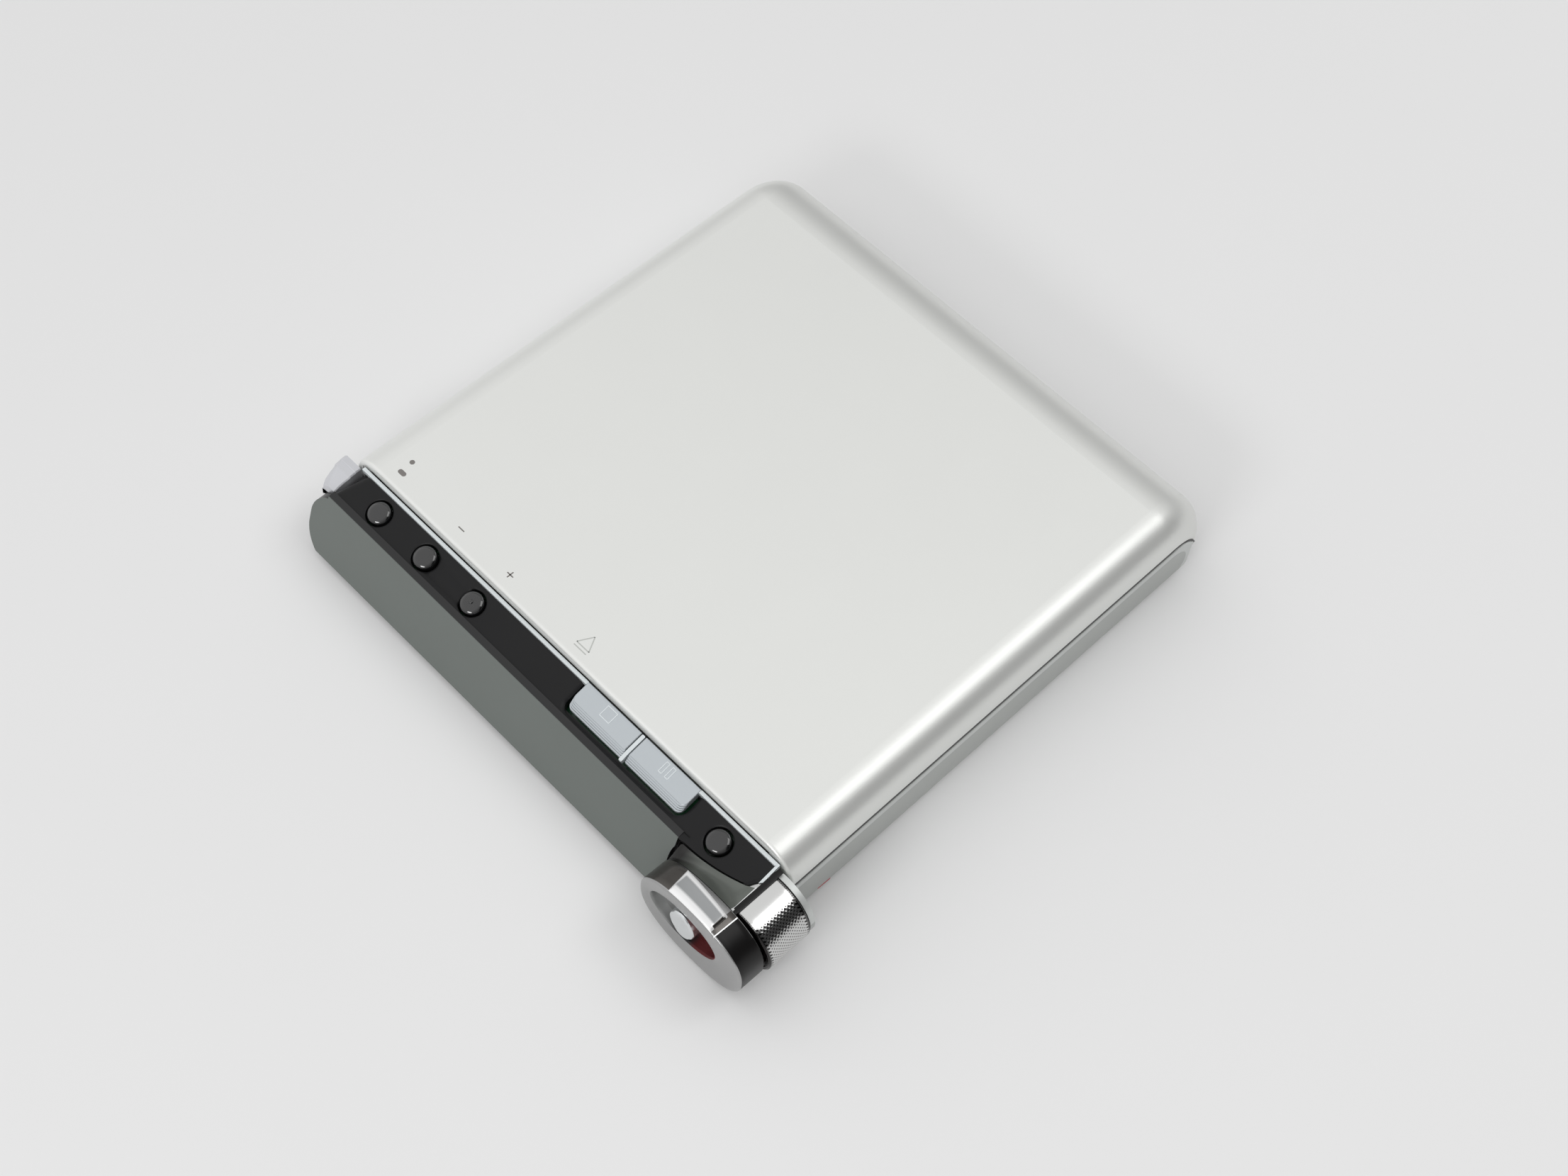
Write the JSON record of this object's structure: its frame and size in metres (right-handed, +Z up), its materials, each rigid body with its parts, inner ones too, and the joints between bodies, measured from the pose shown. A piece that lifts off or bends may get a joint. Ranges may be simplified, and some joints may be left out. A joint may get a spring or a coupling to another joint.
{
  "type": "portable minidisc recorder",
  "caption": "Slim portable disc recorder with a flip-up metal lid, a black button bar with a display window, and a jog ring and level dial at one end.",
  "frame": {"origin": "centre of the lower case under the disc, on the surface it rests on", "axes": "+X along the button bar towards the jog ring, +Y from the bar to the hinge, +Z up"},
  "size_m": [0.0878, 0.0913, 0.0143],
  "materials": {
    "lid_metal": "bead blasted satin",
    "case_metal": "fine satin",
    "bar_black": "satin black with a fine sparkle",
    "window_tint": "dark grey tinted window",
    "trim_bright": "polished edge",
    "key_metal": "brushed",
    "button_black": "gloss black",
    "jog_dark": "dark mirror plate",
    "jog_key": "bright plate",
    "hood_dark": "dark mirror plate",
    "dial_bright": "bright plate, knurled",
    "lever_grey": "silver paint",
    "steel_sheet": "plain sheet",
    "steel_bright": "ground",
    "motor_can": "zinc plate",
    "table_plastic": "moulded",
    "sled_metal": "die cast",
    "lens_glass": "coated lens",
    "brass_part": "plain",
    "board_green": "solder mask",
    "chip_black": "moulded",
    "socket_black": "moulded",
    "socket_steel": "tin plate",
    "cell_wrap": "wrapped cell",
    "module_grey": "display laminate",
    "flex_amber": "polyimide film",
    "rubber_black": "soft bush",
    "cover_metal": "fine satin"
  },
  "bodies": {
    "case": {"lower_case": "case_metal", "battery": "cell_wrap", "battery_contacts": "brass_part", "main_board": "board_green", "board_chips": "chip_black", "side_board": "board_green", "chassis_plate": "steel_sheet", "spindle_motor": "motor_can", "guide_rods": "steel_bright", "rod_clamps": "steel_sheet", "sled_motor": "motor_can", "screw_bearing": "brass_part", "headphone_jack": "socket_black", "line_in_jack": "socket_black", "microphone_jack": "socket_black", "usb_socket": "socket_steel", "hold_switch_base": "socket_black", "front_bar": "bar_black", "display_glass": "window_tint", "display_module": "module_grey", "button_board": "board_green", "button_switches": "socket_steel", "trim_strip_left": "trim_bright", "trim_strip_right": "trim_bright", "jog_housing": "hood_dark", "dial_bracket": "steel_sheet", "dial_axle": "steel_bright", "bar_end_trim": "trim_bright", "lever_spring": "steel_bright", "hinge_pins": "steel_bright", "hinge_spring": "steel_bright", "case_screws": "steel_bright", "chassis_screws": "steel_bright", "bar_screws": "steel_bright", "flex_cable": "flex_amber", "damper_bushes": "rubber_black"},
    "lid": {"lid_shell": "lid_metal", "lid_hook": "steel_sheet", "disc_holder": "steel_sheet", "holder_studs": "steel_bright", "hinge_arms": "steel_sheet", "arm_rivets": "steel_bright"},
    "cover": {"battery_cover": "cover_metal"},
    "table": {"turntable": "table_plastic"},
    "sled": {"pickup_sled": "sled_metal", "pickup_lens": "lens_glass"},
    "screw": {"lead_screw": "steel_bright"},
    "head": {"record_head": "socket_black"},
    "hold_knob": {"hold_switch": "lever_grey"},
    "display_key": {"display_button": "button_black"},
    "minus_key": {"volume_minus_button": "button_black"},
    "plus_key": {"volume_plus_button": "button_black"},
    "stop_key": {"stop_button": "key_metal"},
    "pause_key": {"pause_button": "key_metal"},
    "mark_key": {"track_mark_button": "button_black"},
    "ring": {"jog_ring": "jog_dark"},
    "jog_key": {"jog_button": "jog_key"},
    "level_dial": {"record_dial": "dial_bright"},
    "lever": {"open_lever": "lever_grey"}
  },
  "joints": [
    {"name": "lid_hinge", "type": "hinge", "parent": "case", "child": "lid", "pos_m": [0, 0.0354, 0.0036], "axis": [-1, 0, 0], "range_deg": [0, 25]},
    {"name": "open_slide", "type": "slide", "parent": "case", "child": "lever", "axis": [1, 0, 0], "range_m": [0, 0.0006], "stiffness_N_per_m": 300},
    {"name": "display_press", "type": "slide", "parent": "case", "child": "display_key", "axis": [0, 0.2576, -0.9662], "range_m": [0, 0.0003], "stiffness_N_per_m": 600},
    {"name": "volume_minus_press", "type": "slide", "parent": "case", "child": "minus_key", "axis": [0, 0.2576, -0.9662], "range_m": [0, 0.0003], "stiffness_N_per_m": 600},
    {"name": "volume_plus_press", "type": "slide", "parent": "case", "child": "plus_key", "axis": [0, 0.2576, -0.9662], "range_m": [0, 0.0003], "stiffness_N_per_m": 600},
    {"name": "stop_press", "type": "slide", "parent": "case", "child": "stop_key", "axis": [0, 0.2576, -0.9662], "range_m": [0, 0.0003], "stiffness_N_per_m": 600},
    {"name": "pause_press", "type": "slide", "parent": "case", "child": "pause_key", "axis": [0, 0.2576, -0.9662], "range_m": [0, 0.0003], "stiffness_N_per_m": 600},
    {"name": "track_mark_press", "type": "slide", "parent": "case", "child": "mark_key", "axis": [0, 0.2576, -0.9662], "range_m": [0, 0.0003], "stiffness_N_per_m": 600},
    {"name": "jog_slide", "type": "slide", "parent": "case", "child": "ring", "axis": [1, 0, 0], "range_m": [-0.0012, 0.0012], "stiffness_N_per_m": 400},
    {"name": "jog_press", "type": "slide", "parent": "ring", "child": "jog_key", "axis": [0, 1, 0], "range_m": [0, 0.0005], "stiffness_N_per_m": 600},
    {"name": "level_turn", "type": "hinge", "parent": "case", "child": "level_dial", "pos_m": [0.0403, -0.0394, 0.0069], "axis": [0, 1, 0], "range_deg": [-30, 30], "stiffness_Nm_per_rad": 0.002},
    {"name": "table_spin", "type": "hinge", "parent": "case", "child": "table", "pos_m": [0, 0, 0.008], "axis": [0, 0, 1], "continuous": true},
    {"name": "sled_travel", "type": "slide", "parent": "case", "child": "sled", "axis": [1, 0, 0], "range_m": [0, 0.0139]},
    {"name": "screw_turn", "type": "hinge", "parent": "case", "child": "screw", "pos_m": [0.012, -0.0126, 0.00515], "axis": [1, 0, 0], "range_deg": [0, 2510]},
    {"name": "head_travel", "type": "slide", "parent": "lid", "child": "head", "axis": [1, 0, 0], "range_m": [0, 0.0139]},
    {"name": "hold_slide", "type": "slide", "parent": "case", "child": "hold_knob", "axis": [0, 1, 0], "range_m": [-0.001, 0.001]},
    {"name": "cover_slide", "type": "slide", "parent": "case", "child": "cover", "axis": [-1, 0, 0], "range_m": [0, 0.005]}
  ],
  "couplings": [
    {"joint": "screw_turn", "follows": "sled_travel", "rad_per_m": 3141.6},
    {"joint": "head_travel", "follows": "sled_travel", "ratio": 1}
  ]
}
